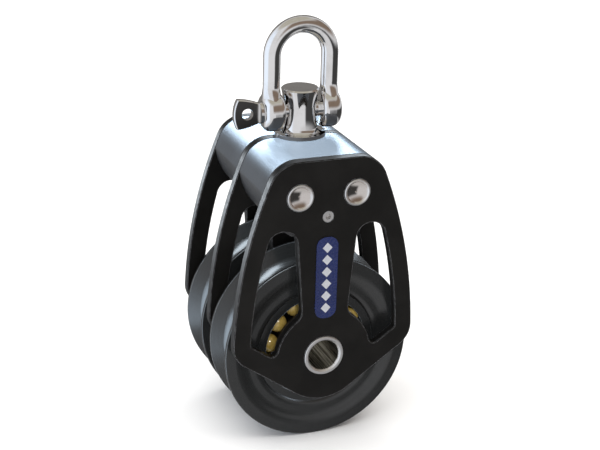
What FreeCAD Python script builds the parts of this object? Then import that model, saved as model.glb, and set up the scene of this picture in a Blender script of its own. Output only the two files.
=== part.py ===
"""Double sheave block: two ball-bearing sheaves side by side between three plates, under a swivel shackle.

Frame: origin at the middle of the axle, X across the plates, Y along the axle towards the rear plate,
Z up towards the shackle.  Millimetres.  Every size is a cell of the sheet "dims" or is worked out from it.
"""
import FreeCAD, Part
import math
import os

import Sketcher
from FreeCAD import Placement, Rotation, Vector

PARTS_FOLDER = "parts"
LEVEL_TOLERANCE = 0.01
CUT_TOLERANCE = 1e-6
ROOT_SECTIONS = 3

DIMENSIONS = (
    # sheaves
    ("sheave_radius", 36.0, "outer radius of a sheave"),
    ("sheave_width", 19.6, "width of a sheave over its rims"),
    ("groove_radius", 7.0, "radius of the rope groove's floor"),
    ("groove_depth", 8.2, "depth of the rope groove below the rim"),
    ("groove_flare", 28.0, "lean of the groove's walls from the sheave's plane"),
    ("rim_round", 0.4, "rounding of a sheave's outer edges"),
    ("dish_outer_radius", 32.0, "radius where a sheave's face starts to fall into its dish"),
    ("dish_inner_radius", 27.0, "radius where the dish becomes flat"),
    ("dish_depth", 0.9, "depth of the dish"),
    ("roll_outer_radius", 25.0, "radius where the flat of the dish starts to roll over"),
    ("roll_inner_radius", 22.7, "radius where the roll meets the shoulder round the balls"),
    ("roll_drop", 0.7, "drop of the roll to that shoulder"),
    ("keeper_radius", 19.8, "bore of the shoulder, which keeps the balls in"),
    ("land_radius", 19.2, "bore between the two ball rows"),
    # ball bearing
    ("ball_radius", 3.45, "radius of a bearing ball"),
    ("ball_count", 13, "balls in one row"),
    ("ball_pitch_radius", 17.6, "radius of the circle the balls run on"),
    ("ball_row_offset", 5.0, "distance of a ball row from the sheave's middle"),
    ("ball_first_angle", 144.3, "angle of one ball above the +X axis"),
    ("raceway_radius", 3.6, "section radius of the raceways"),
    ("race_bore_radius", 7.05, "bore of an inner race"),
    ("race_shoulder_radius", 16.4, "inner race outside the ball row"),
    # plates
    ("plate_pitch", 29.0, "distance between the middles of two plates"),
    ("plate_thickness", 3.5, "thickness of a plate"),
    ("plate_top", 76.2, "height of the plates' top edge above the axle"),
    ("plate_half_width", 35.26, "widest half width of a plate"),
    ("plate_widest_height", 0.95, "height of that widest point"),
    ("plate_side_radius", 182.0, "radius of a plate's long side"),
    ("plate_shoulder_radius", 11.3, "radius of a plate's top corners"),
    ("plate_corner_radius", 9.3, "radius of a plate's lower corners"),
    ("plate_belly_radius", 17.86, "radius of the lower edge round the axle"),
    ("plate_belly_slope", 35.0, "slope of the straight lower edges"),
    ("edge_chamfer", 0.3, "broken edges of the plates and head blocks"),
    # windows in the plates
    ("window_rim", 6.7, "width of the plate outside a window"),
    ("window_floor_rim", 7.6, "width of the plate below a window"),
    ("window_crown_radius", 5.7, "radius of a window's top"),
    ("window_hub_radius", 18.5, "radius of the hub left between the windows"),
    ("window_inner_x", 9.4, "inner edge of a window at the height below"),
    ("window_inner_height", 21.7, "height where the inner edge has that distance"),
    ("window_inner_lean", 4.76, "lean of the inner edge from upright"),
    ("window_waist_radius", 4.5, "radius between the inner edge and the hub"),
    ("window_toe_radius", 2.2, "radius between the hub and the window's floor"),
    ("window_heel_radius", 1.8, "radius between the floor and the outer edge"),
    ("window_crown_height", 44.0, "height about which a window's top is centred"),
    # head blocks
    ("head_round_radius", 23.9, "radius of a head block's rounded underside"),
    ("head_round_height", 67.6, "height of the centre of that rounding"),
    ("head_arch_radius", 48.5, "radius of the rope arch under a head block"),
    # hollow axle
    ("axle_radius", 7.0, "outer radius of the hollow axle"),
    ("axle_bore_radius", 5.85, "bore of the hollow axle"),
    ("axle_head_radius", 7.6, "radius of the axle's head and of its end ring"),
    ("axle_half_length", 31.4, "half length of the axle"),
    ("axle_chamfer", 0.7, "chamfer at both ends of the bore"),
    ("axle_edge_chamfer", 0.2, "chamfer of the axle's and the ring's outer edges"),
    ("axle_seat_clearance", 0.05, "clearance of the axle in the plates"),
    # tie bolts
    ("tie_x", 10.83, "distance of a tie bolt from the middle"),
    ("tie_height", 62.9, "height of the tie bolts"),
    ("tie_radius", 3.0, "radius of a tie bolt's shank"),
    ("tie_head_radius", 4.93, "radius of a tie bolt's head and of its nut"),
    ("tie_head_length", 2.8, "length of the head"),
    ("tie_edge_radius", 4.7, "outer radius of the flat rim of a head"),
    ("tie_rim_radius", 4.4, "inner radius of that rim"),
    ("tie_dish_radius", 3.7, "radius of the hollow in the head"),
    ("tie_dish_depth", 0.7, "depth of the hollow at its edge"),
    ("tie_dish_centre_depth", 1.6, "depth of the hollow in its middle"),
    ("tie_stud_radius", 2.0, "radius of the bolt's threaded end"),
    ("tie_shank_end", 17.0, "distance of the shank's end behind the middle plate"),
    ("tie_stud_end", 27.0, "distance of the threaded end behind the middle plate"),
    ("tie_socket_width", 5.0, "width over flats of the nut's socket"),
    ("tie_socket_depth", 1.4, "depth of the nut's socket"),
    ("tie_proud", 0.6, "how far bolt heads and nuts stand out of the plates"),
    ("fastener_clearance", 0.15, "clearance round the tie bolts"),
    # swivel lock screw
    ("lock_height", 54.7, "height of the lock screw"),
    ("lock_radius", 2.0, "radius of the lock screw"),
    ("lock_sink", 0.05, "depth of the lock screw's face below the plate's face"),
    ("lock_socket_width", 2.0, "width over flats of its socket"),
    ("lock_socket_depth", 2.2, "depth of its socket"),
    ("lock_standoff", 0.3, "gap between the screw's tip and the stem when released"),
    ("lock_clearance", 0.08, "clearance round the lock screw"),
    # swivel post
    ("post_top", 94.2, "height of the post's top"),
    ("post_chamfer", 0.5, "chamfer of the post's top"),
    ("post_flange_radius", 9.7, "radius of the post's flange"),
    ("post_flange_base", 76.4, "height of the flange's underside"),
    ("post_flange_thickness", 1.4, "thickness of the flange's edge"),
    ("post_flare_radius", 2.0, "radius between the flange and the post's side"),
    ("post_waist_radius", 6.05, "radius of the post's waist at the shackle pin"),
    ("post_side_radius", 34.0, "radius of the hollow curve of the post's side"),
    ("stem_radius", 5.0, "radius of the post's stem inside the head"),
    ("stem_shoulder", 51.4, "height where the stem steps down to its thread"),
    ("stem_thread_radius", 4.0, "radius of the stem's threaded end"),
    ("stem_end", 48.1, "height of the stem's lower end"),
    ("stem_groove_radius", 3.6, "radius at the floor of the lock groove"),
    ("stem_groove_width", 4.4, "width of the lock groove"),
    # swivel nut and bush
    ("nut_radius", 7.6, "radius of the swivel nut"),
    ("nut_top", 51.2, "height of the nut's top face"),
    ("nut_height", 3.3, "height of the nut"),
    ("nut_slot_width", 1.6, "width of the spanner slot across the nut"),
    ("nut_slot_depth", 1.2, "depth of that slot"),
    ("bush_radius", 6.25, "outer radius of the swivel bush"),
    ("bush_bore_radius", 5.06, "bore of the swivel bush"),
    ("bush_base", 58.5, "height of the bush's lower end"),
    ("bush_flange_radius", 8.4, "radius of the bush's flange"),
    ("bush_flange_thickness", 1.0, "thickness of that flange"),
    ("bush_top", 76.3, "height of the bush's top face"),
    ("bush_seat_clearance", 0.05, "clearance of the bush's barrel in the head"),
    ("bush_flange_clearance", 0.1, "clearance round and above the bush's flange and over the nut"),
    ("stem_clearance", 0.3, "clearance of the stem below the bush"),
    ("nut_clearance", 0.4, "clearance round the nut"),
    ("nut_pocket_depth", 4.2, "depth of the nut's pocket below the nut's top"),
    # shackle
    ("shackle_pin_height", 85.7, "height of the shackle pin"),
    ("shackle_wire_radius", 3.2, "radius of the shackle's bar"),
    ("shackle_arm_x", 11.2, "distance of an arm from the middle"),
    ("shackle_crown_height", 106.3, "height of the centre of the bow's half circle"),
    ("shackle_ear_radius", 7.2, "radius of an ear"),
    ("shackle_ear_inner", 7.3, "distance of an ear's inner face from the middle"),
    ("shackle_ear_outer", 14.9, "distance of an ear's outer face from the middle"),
    ("shackle_ear_round", 3.0, "rounding of an ear's outer edge"),
    ("shackle_ear_inner_round", 1.8, "rounding of an ear's inner edge"),
    ("shackle_arm_start", 10.4, "height above the pin where the bar starts to widen into an ear"),
    ("root_height_1", 8.2, "height above the pin of the root's first section"),
    ("root_half_x_1", 3.25, "half width across the bow of the root's first section"),
    ("root_half_y_1", 3.45, "half width along Y of the root's first section"),
    ("root_height_2", 6.4, "height above the pin of the root's second section"),
    ("root_half_x_2", 3.4, "half width across the bow of the root's second section"),
    ("root_half_y_2", 4.35, "half width along Y of the root's second section"),
    ("root_height_3", 4.4, "height above the pin of the root's third section, inside the ear"),
    ("root_half_x_3", 3.5, "half width across the bow of the root's third section"),
    ("root_half_y_3", 5.4, "half width along Y of the root's third section"),
    ("pin_radius", 3.0, "radius of the shackle pin"),
    ("pin_clearance", 0.05, "running clearance round the pin"),
    ("pin_end", 14.3, "distance of the pin's far end from the middle"),
    ("pin_collar_radius", 4.05, "radius of the pin's collar"),
    ("pin_collar_length", 1.1, "length of the pin's collar"),
    ("tab_thickness", 2.6, "thickness of the pin's tab"),
    ("tab_root_height", 6.9, "height of the tab beside the collar"),
    ("tab_tip_height", 11.3, "height of the tab at its outer corners"),
    ("tab_corner_x", 24.3, "distance of those corners from the middle"),
    ("tab_reach", 25.7, "distance of the tab's outer edge from the middle"),
    ("tab_hole_x", 20.6, "distance of the lanyard hole from the middle"),
    ("tab_hole_radius", 2.15, "radius of the lanyard hole"),
    ("tab_side_radius", 26.0, "radius of the tab's bowed upper and lower edges"),
    ("tab_chamfer", 0.35, "broken edges of the tab"),
    # badges
    ("badge_half_width", 4.15, "half width of a badge"),
    ("badge_base", 15.2, "height of a badge's lower end"),
    ("badge_top", 47.0, "height of a badge's upper end"),
    ("badge_corner_radius", 3.5, "corner radius of a badge"),
    ("badge_thickness", 0.3, "thickness of a badge"),
)

doc = FreeCAD.newDocument("double_sheave_block")
sheet = doc.addObject("Spreadsheet::Sheet", "dims")
for row, (alias, number, meaning) in enumerate(DIMENSIONS, start=1):
    sheet.set(f"A{row}", alias)
    sheet.set(f"B{row}", str(number))
    sheet.set(f"C{row}", meaning)
    sheet.setAlias(f"B{row}", alias)
doc.recompute()

nodes = []


# ---------------------------------------------------------------- sizes that carry their expression

class Size:
    """A number together with the spreadsheet expression that gives it."""

    def __init__(self, value, text):
        self.value = value
        self.text = text

    def __neg__(self):
        return Size(-self.value, f"-({self.text})")

    def __add__(self, other):
        other = as_size(other)
        return Size(self.value + other.value, f"({self.text} + {other.text})")

    def __sub__(self, other):
        other = as_size(other)
        return Size(self.value - other.value, f"({self.text} - {other.text})")

    def __mul__(self, factor):
        factor = as_size(factor)
        return Size(self.value * factor.value, f"({self.text} * {factor.text})")

    def __truediv__(self, factor):
        factor = as_size(factor)
        return Size(self.value / factor.value, f"({self.text} / {factor.text})")

    def root(self):
        return Size(math.sqrt(self.value), f"sqrt({self.text})")

    def sine(self):
        return Size(math.sin(math.radians(self.value)), f"sin({self.text})")

    def cosine(self):
        return Size(math.cos(math.radians(self.value)), f"cos({self.text})")


def as_size(number):
    """A Size for a plain number, or the Size itself."""
    return number if isinstance(number, Size) else Size(float(number), repr(float(number)))


def dim(alias):
    """The Size kept in the sheet under this alias."""
    return Size(float(sheet.get(alias)), f"dims.{alias}")


def leg(hypotenuse, side):
    """The other leg of a right triangle."""
    return (hypotenuse * hypotenuse - side * side).root()


ZERO = as_size(0)


def bind(thing, **sizes):
    """Bind properties to expressions; a double underscore stands for a dot in the property's path."""
    for path, size in sizes.items():
        thing.setExpression(path.replace("__", "."), as_size(size).text)


# ---------------------------------------------------------------- plane geometry

def polar(radius, degrees, centre=(0.0, 0.0)):
    """The point at this radius and angle from the centre."""
    angle = math.radians(degrees)
    return centre[0] + radius * math.cos(angle), centre[1] + radius * math.sin(angle)


def bearing(point, centre):
    """The angle in radians of a point seen from a centre."""
    return math.atan2(point[1] - centre[1], point[0] - centre[0])


class Line:
    """An endless line through a point, at an angle in degrees."""

    def __init__(self, point, degrees):
        self.point = point
        self.direction = polar(1.0, degrees)

    def shifted(self, distance):
        """The parallel line this far to the left."""
        moved = Line(self.point, 0.0)
        moved.direction = self.direction
        left = (-self.direction[1], self.direction[0])
        moved.point = (self.point[0] + left[0] * distance, self.point[1] + left[1] * distance)
        return moved

    def touch(self, centre):
        """The foot of the perpendicular from a point."""
        along = ((centre[0] - self.point[0]) * self.direction[0]
                 + (centre[1] - self.point[1]) * self.direction[1])
        return self.point[0] + along * self.direction[0], self.point[1] + along * self.direction[1]


class Circle:
    """A full circle."""

    def __init__(self, centre, radius):
        self.centre = centre
        self.radius = radius

    def shifted(self, distance):
        """The circle on the same centre with its radius changed."""
        return Circle(self.centre, self.radius + distance)

    def touch(self, centre):
        """The point of this circle in the direction of another point."""
        angle = bearing(centre, self.centre)
        return polar(self.radius, math.degrees(angle), self.centre)


def crossings(first, second):
    """Where two carriers, each a Line or a Circle, meet."""
    if isinstance(first, Line) and isinstance(second, Line):
        (ax, ay), (bx, by) = first.direction, second.direction
        gap = (second.point[0] - first.point[0], second.point[1] - first.point[1])
        along = (gap[0] * by - gap[1] * bx) / (ax * by - ay * bx)
        return [(first.point[0] + along * ax, first.point[1] + along * ay)]
    if isinstance(first, Circle) and isinstance(second, Circle):
        dx = second.centre[0] - first.centre[0]
        dy = second.centre[1] - first.centre[1]
        apart = math.hypot(dx, dy)
        along = (first.radius ** 2 - second.radius ** 2 + apart ** 2) / (2 * apart)
        aside = math.sqrt(first.radius ** 2 - along ** 2)
        ux, uy = dx / apart, dy / apart
        foot = (first.centre[0] + along * ux, first.centre[1] + along * uy)
        return [(foot[0] - s * aside * uy, foot[1] + s * aside * ux) for s in (1, -1)]
    line, circle = (first, second) if isinstance(first, Line) else (second, first)
    foot = line.touch(circle.centre)
    away = math.hypot(foot[0] - circle.centre[0], foot[1] - circle.centre[1])
    half = math.sqrt(circle.radius ** 2 - away ** 2)
    return [(foot[0] + s * half * line.direction[0], foot[1] + s * half * line.direction[1]) for s in (1, -1)]


def nearest(points, target):
    """The point closest to a target."""
    return min(points, key=lambda p: math.hypot(p[0] - target[0], p[1] - target[1]))


def corner_centre(first, second, radius, inside):
    """Centre of the fillet between two carriers, on the side of a point near it."""
    candidates = []
    for one in (radius, -radius):
        for other in (radius, -radius):
            candidates += crossings(first.shifted(one), second.shifted(other))
    return nearest(candidates, inside)


def arc_through(centre, radius, start, end):
    """The shorter arc between two points of a circle, and whether it runs from start to end."""
    first, last = bearing(start, centre), bearing(end, centre)
    circle = Part.Circle(Vector(*centre, 0), Vector(0, 0, 1), radius)
    forward = (last - first) % (2 * math.pi) < math.pi
    if not forward:
        first, last = last, first
    return Part.ArcOfCircle(circle, first, last), forward


# ---------------------------------------------------------------- bodies and sketches

def new_body(name):
    """A body whose label names its node."""
    body = doc.addObject("PartDesign::Body", f"{name}_body")
    body.Label = name
    nodes.append(body)
    return body


def new_sketch(body, name, plane="XZ_Plane", lift=None):
    """A sketch on one of the body's own origin planes, moved along the plane's normal by lift."""
    support = [feature for feature in body.Origin.OriginFeatures if feature.Role == plane][0]
    sketch = body.newObject("Sketcher::SketchObject", name)
    sketch.AttachmentSupport = [(support, "")]
    sketch.MapMode = "FlatFace"
    if lift is not None:
        sketch.AttachmentOffset = Placement(Vector(0, 0, lift.value), Rotation())
        bind(sketch, AttachmentOffset__Base__z=lift)
    return sketch


def constrain(sketch, kind, *references, size):
    """Add a dimensional constraint bound to a size, in degrees for an angle."""
    number = math.radians(size.value) if kind == "Angle" else size.value
    index = sketch.addConstraint(Sketcher.Constraint(kind, *references, number))
    sketch.setExpression(f"Constraints[{index}]", size.text)


def add_circle(sketch, x, y, radius):
    """A circle with its centre and radius bound."""
    circle = Part.Circle(Vector(x.value, y.value, 0), Vector(0, 0, 1), radius.value)
    index = sketch.addGeometry(circle)
    constrain(sketch, "DistanceX", -1, 1, index, 3, size=x)
    constrain(sketch, "DistanceY", -1, 1, index, 3, size=y)
    constrain(sketch, "Radius", index, size=radius)


def add_profile(sketch, corners, arcs=None):
    """A closed outline with every corner bound; arcs maps a corner's number to (radius, centre)."""
    arcs = arcs or {}
    ends = []
    for number, (x, y) in enumerate(corners):
        next_x, next_y = corners[(number + 1) % len(corners)]
        start, end = (x.value, y.value), (next_x.value, next_y.value)
        forward = True
        if number in arcs:
            radius, centre = arcs[number]
            shape, forward = arc_through((centre[0].value, centre[1].value), radius.value, start, end)
        else:
            shape = Part.LineSegment(Vector(*start, 0), Vector(*end, 0))
        index = sketch.addGeometry(shape)
        ends.append((index, 1, 2) if forward else (index, 2, 1))
    for number, (x, y) in enumerate(corners):
        index, first, last = ends[number]
        following, entry, _ = ends[(number + 1) % len(ends)]
        sketch.addConstraint(Sketcher.Constraint("Coincident", index, last, following, entry))
        constrain(sketch, "DistanceX", -1, 1, index, first, size=x)
        constrain(sketch, "DistanceY", -1, 1, index, first, size=y)
        if number in arcs:
            constrain(sketch, "Radius", index, size=arcs[number][0])


def add_outline(sketch, pieces, sharp_ends=()):
    """A closed outline of lines and arcs, each tangent to the next unless its number is in sharp_ends.

    A piece is ("line", start, end) or ("arc", start, end, centre, radius as a Size).
    Returns the sketch index of every piece.
    """
    ends = []
    for piece in pieces:
        if piece[0] == "line":
            shape = Part.LineSegment(Vector(*piece[1], 0), Vector(*piece[2], 0))
            forward = True
        else:
            shape, forward = arc_through(piece[3], piece[4].value, piece[1], piece[2])
        index = sketch.addGeometry(shape)
        ends.append((index, 1, 2) if forward else (index, 2, 1))
    for number, (index, _, last) in enumerate(ends):
        following, entry, _ = ends[(number + 1) % len(ends)]
        kind = "Coincident" if number in sharp_ends else "Tangent"
        sketch.addConstraint(Sketcher.Constraint(kind, index, last, following, entry))
        if pieces[number][0] == "arc":
            constrain(sketch, "Radius", index, size=pieces[number][4])
    return [index for index, _, _ in ends]


def pin_centre(sketch, index, x, y):
    """Bind the centre of a circle or an arc."""
    constrain(sketch, "DistanceX", -1, 1, index, 3, size=x)
    constrain(sketch, "DistanceY", -1, 1, index, 3, size=y)


def pad(body, sketch, name, length):
    """A pad to both sides of the sketch."""
    feature = body.newObject("PartDesign::Pad", name)
    feature.Profile = sketch
    feature.SideType = "Symmetric"
    bind(feature, Length=length)
    body.Tip = feature
    doc.recompute()
    return feature


def solid_volume(body):
    """Volume of the body as it stands."""
    doc.recompute()
    return body.Shape.Volume


def check_cut(body, before, name):
    """Stop if a cut took nothing away."""
    if solid_volume(body) > before - CUT_TOLERANCE:
        raise RuntimeError(f"{body.Label}: {name} cuts nothing")


def cut_through(body, sketch, name):
    """A pocket through everything on both sides of the sketch."""
    before = solid_volume(body)
    feature = body.newObject("PartDesign::Pocket", name)
    feature.Profile = sketch
    feature.SideType = "Symmetric"
    feature.Type = "ThroughAll"
    body.Tip = feature
    check_cut(body, before, name)
    return feature


def cut_pocket(body, sketch, name, depth):
    """A pocket of a given depth, away from the side the sketch faces."""
    before = solid_volume(body)
    feature = body.newObject("PartDesign::Pocket", name)
    feature.Profile = sketch
    feature.Type = "Length"
    bind(feature, Length=depth)
    body.Tip = feature
    check_cut(body, before, name)
    return feature


def revolve(body, sketch, name, axis="V_Axis"):
    """A full turn of the sketch about one of its axes."""
    feature = body.newObject("PartDesign::Revolution", name)
    feature.Profile = sketch
    feature.ReferenceAxis = (sketch, [axis])
    feature.Angle = 360.0
    body.Tip = feature
    doc.recompute()
    return feature


def cut_groove(body, sketch, name, axis="V_Axis"):
    """A cut by a full turn of the sketch."""
    before = solid_volume(body)
    feature = body.newObject("PartDesign::Groove", name)
    feature.Profile = sketch
    feature.ReferenceAxis = (sketch, [axis])
    feature.Angle = 360.0
    body.Tip = feature
    check_cut(body, before, name)
    return feature


def chamfer_edges(body, name, size, half, curves=(Part.Line, Part.Circle)):
    """A chamfer along the edges that lie flat at half from the body's XZ plane, on both sides."""
    base = body.Tip
    edges = []
    for number, edge in enumerate(base.Shape.Edges, start=1):
        ends = (edge.BoundBox.YMin, edge.BoundBox.YMax)
        level = all(abs(abs(y) - half.value) < LEVEL_TOLERANCE for y in ends)
        if level and isinstance(edge.Curve, curves):
            edges.append(f"Edge{number}")
    before = solid_volume(body)
    feature = body.newObject("PartDesign::Chamfer", name)
    feature.Base = (base, edges)
    bind(feature, Size=size)
    body.Tip = feature
    check_cut(body, before, name)


def add_axis(sketch, start, end):
    """A construction line between two points, level or upright, that a revolution can turn about."""
    line = Part.LineSegment(Vector(start[0].value, start[1].value, 0), Vector(end[0].value, end[1].value, 0))
    index = sketch.addGeometry(line, True)
    for point, (x, y) in ((1, start), (2, end)):
        constrain(sketch, "DistanceX", -1, 1, index, point, size=x)
        constrain(sketch, "DistanceY", -1, 1, index, point, size=y)


def place(body, y, turned=False):
    """Move a body along the axle, turned end for end about the Z axis if asked."""
    turn = Rotation(Vector(0, 0, 1), 180.0 if turned else 0.0)
    body.Placement = Placement(Vector(0, y.value, 0), turn)
    bind(body, Placement__Base__y=y)


# ---------------------------------------------------------------- shared sizes

plate_half = dim("plate_thickness") / 2
sheave_half = dim("sheave_width") / 2
sheave_y = dim("plate_pitch") / 2
bay_half = sheave_y - plate_half
plate_face = dim("plate_pitch") + plate_half
fastener_face = plate_face + dim("tie_proud")
lock_face = plate_face - dim("lock_sink")
axle_seat_radius = dim("axle_head_radius") + dim("axle_seat_clearance")
tie_hole_radius = dim("tie_radius") + dim("fastener_clearance")
tie_seat_radius = dim("tie_head_radius") + dim("fastener_clearance")
lock_hole_radius = dim("lock_radius") + dim("lock_clearance")
pin_hole_radius = dim("pin_radius") + dim("pin_clearance")


# ---------------------------------------------------------------- side plates

def plate_carriers():
    """The lines and circles that a plate's right half is cut from."""
    half_width = dim("plate_half_width").value
    side_radius = dim("plate_side_radius").value
    slope = dim("plate_belly_slope").value
    belly = Circle((0.0, 0.0), dim("plate_belly_radius").value)
    foot = polar(belly.radius, slope - 90.0)
    side = Circle((half_width - side_radius, dim("plate_widest_height").value), side_radius)
    top = Line((0.0, dim("plate_top").value), 180.0)
    return belly, Line(foot, slope), side, top


def mirrored(piece):
    """The same piece on the other side of the sketch's vertical axis, running the same way round."""
    flip = [(-x, y) for x, y in piece[1:3]]
    if piece[0] == "line":
        return "line", flip[1], flip[0]
    return "arc", flip[1], flip[0], (-piece[3][0], piece[3][1]), piece[4]


def shoulder_arc(side, top):
    """The top right corner, shared by the plates and the head blocks."""
    radius = dim("plate_shoulder_radius")
    inside = (dim("tie_x").value, dim("tie_height").value)
    centre = corner_centre(side, top, radius.value, inside)
    return "arc", side.touch(centre), top.touch(centre), centre, radius


def pin_sides(sketch, right, left):
    """Bind the centres of the two long side arcs."""
    centre_x = dim("plate_half_width") - dim("plate_side_radius")
    pin_centre(sketch, right, centre_x, dim("plate_widest_height"))
    pin_centre(sketch, left, -centre_x, dim("plate_widest_height"))


def pin_crown(sketch, line):
    """Keep the top edge level at its height."""
    sketch.addConstraint(Sketcher.Constraint("Horizontal", line))
    constrain(sketch, "DistanceY", -1, 1, line, 1, size=dim("plate_top"))


def add_plate_outline(sketch):
    """The pear-shaped outline of a plate, smooth all round."""
    belly, floor, side, top = plate_carriers()
    corner_radius = dim("plate_corner_radius")
    inside = (side.centre[0] + side.radius - corner_radius.value, corner_radius.value / 2)
    corner = corner_centre(floor, side, corner_radius.value, inside)
    foot = floor.touch((0.0, 0.0))
    shoulder = shoulder_arc(side, top)
    right = [
        ("line", foot, floor.touch(corner)),
        ("arc", floor.touch(corner), side.touch(corner), corner, corner_radius),
        ("arc", side.touch(corner), shoulder[1], side.centre, dim("plate_side_radius")),
        shoulder,
    ]
    crown = ("line", shoulder[2], (-shoulder[2][0], shoulder[2][1]))
    belly_arc = ("arc", (-foot[0], foot[1]), foot, (0.0, 0.0), dim("plate_belly_radius"))
    pieces = right + [crown] + [mirrored(piece) for piece in reversed(right)] + [belly_arc]
    index = add_outline(sketch, pieces)
    floor_right, side_right, crown_line = index[0], index[2], index[4]
    side_left, floor_left, belly_index = index[6], index[8], index[9]
    pin_sides(sketch, side_right, side_left)
    pin_crown(sketch, crown_line)
    sketch.addConstraint(Sketcher.Constraint("Coincident", belly_index, 3, -1, 1))
    constrain(sketch, "Angle", floor_right, size=dim("plate_belly_slope"))
    constrain(sketch, "Angle", floor_left, size=-dim("plate_belly_slope"))


def window_pieces():
    """The outline of the right-hand window."""
    _, floor_edge, side, _ = plate_carriers()
    outer = side.shifted(-dim("window_rim").value)
    floor = floor_edge.shifted(dim("window_floor_rim").value)
    hub = Circle((0.0, 0.0), dim("window_hub_radius").value)
    inner_point = (dim("window_inner_x").value, dim("window_inner_height").value)
    inner = Line(inner_point, 90.0 - dim("window_inner_lean").value)
    crown, waist = dim("window_crown_radius"), dim("window_waist_radius")
    toe, heel = dim("window_toe_radius"), dim("window_heel_radius")

    def centre_near(first, second, radius, corner, right, up):
        """Centre of the round whose inside lies one radius right and up of a corner, or left and down."""
        inside = (corner[0] + radius.value * right, corner[1] + radius.value * up)
        return corner_centre(first, second, radius.value, inside)

    toe_corner = nearest(crossings(hub, floor), (hub.radius, 0.0))
    heel_corner = nearest(crossings(outer, floor), (outer.centre[0] + outer.radius, 0.0))
    waist_corner = nearest(crossings(hub, inner), inner_point)
    toe_centre = centre_near(hub, floor, toe, toe_corner, 1, 1)
    heel_centre = centre_near(outer, floor, heel, heel_corner, -1, 1)
    waist_centre = centre_near(hub, inner, waist, waist_corner, 1, 1)
    crown_corner = (toe_corner[0], dim("window_crown_height").value)
    crown_centre = centre_near(outer, inner, crown, crown_corner, 0, 0)
    return [
        ("line", floor.touch(toe_centre), floor.touch(heel_centre)),
        ("arc", floor.touch(heel_centre), outer.touch(heel_centre), heel_centre, heel),
        ("arc", outer.touch(heel_centre), outer.touch(crown_centre), outer.centre,
         dim("plate_side_radius") - dim("window_rim")),
        ("arc", outer.touch(crown_centre), inner.touch(crown_centre), crown_centre, crown),
        ("line", inner.touch(crown_centre), inner.touch(waist_centre)),
        ("arc", inner.touch(waist_centre), hub.touch(waist_centre), waist_centre, waist),
        ("arc", hub.touch(waist_centre), hub.touch(toe_centre), hub.centre, dim("window_hub_radius")),
        ("arc", hub.touch(toe_centre), floor.touch(toe_centre), toe_centre, toe),
    ]


def side_plate(name, y, turned=False, outer=True, lock_hole=False):
    """One plate; an outer one has seats for the fasteners in its outward face."""
    body = new_body(name)
    outline = new_sketch(body, f"{name}_outline")
    add_plate_outline(outline)
    pad(body, outline, f"{name}_blank", dim("plate_thickness"))
    windows = new_sketch(body, f"{name}_windows")
    right = window_pieces()
    for pieces in (right, [mirrored(piece) for piece in reversed(right)]):
        add_outline(windows, pieces)
    cut_through(body, windows, f"{name}_window_cut")
    chamfer_edges(body, f"{name}_edges", dim("edge_chamfer"), plate_half)
    bores = new_sketch(body, f"{name}_bores")
    axle_hole = axle_seat_radius if outer else dim("axle_radius") + dim("axle_seat_clearance")
    add_circle(bores, ZERO, ZERO, axle_hole)
    for side in (1, -1):
        add_circle(bores, dim("tie_x") * side, dim("tie_height"), tie_hole_radius)
    if lock_hole:
        add_circle(bores, ZERO, dim("lock_height"), lock_hole_radius)
    cut_through(body, bores, f"{name}_bore_cut")
    if outer:
        seats = new_sketch(body, f"{name}_seats", lift=plate_half)
        for side in (1, -1):
            add_circle(seats, dim("tie_x") * side, dim("tie_height"), tie_seat_radius)
        seat_depth = dim("tie_head_length") - dim("tie_proud") + dim("fastener_clearance")
        cut_pocket(body, seats, f"{name}_seat_cut", seat_depth)
    place(body, y, turned)
    return body


def cut_swivel_bore(body, name, axis_y):
    """The stepped bore for the swivel's bush, stem and nut, about a vertical axis at this Y."""
    nut_pocket = dim("nut_radius") + dim("nut_clearance")
    stem_hole = dim("stem_radius") + dim("stem_clearance")
    bush_hole = dim("bush_radius") + dim("bush_seat_clearance")
    flange_hole = dim("bush_flange_radius") + dim("bush_flange_clearance")
    pocket_floor = dim("nut_top") - dim("nut_pocket_depth")
    pocket_roof = dim("nut_top") + dim("bush_flange_clearance")
    flange_floor = dim("bush_top") - dim("bush_flange_thickness")
    above = dim("post_top")
    steps = (
        (ZERO, pocket_floor), (nut_pocket, pocket_floor), (nut_pocket, pocket_roof), (stem_hole, pocket_roof),
        (stem_hole, dim("bush_base")), (bush_hole, dim("bush_base")), (bush_hole, flange_floor),
        (flange_hole, flange_floor), (flange_hole, above), (ZERO, above),
    )
    sketch = new_sketch(body, f"{name}_swivel_bore", plane="YZ_Plane")
    add_profile(sketch, [(axis_y + radius, height) for radius, height in steps])
    add_axis(sketch, (axis_y, ZERO), (axis_y, above))
    cut_groove(body, sketch, f"{name}_swivel_cut", axis="Axis0")


side_plate("front_side_plate", -dim("plate_pitch"), lock_hole=True)
middle_plate = side_plate("middle_side_plate", ZERO, outer=False)
cut_swivel_bore(middle_plate, "middle_side_plate", ZERO)
side_plate("rear_side_plate", dim("plate_pitch"), turned=True)


# ---------------------------------------------------------------- head blocks

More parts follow.
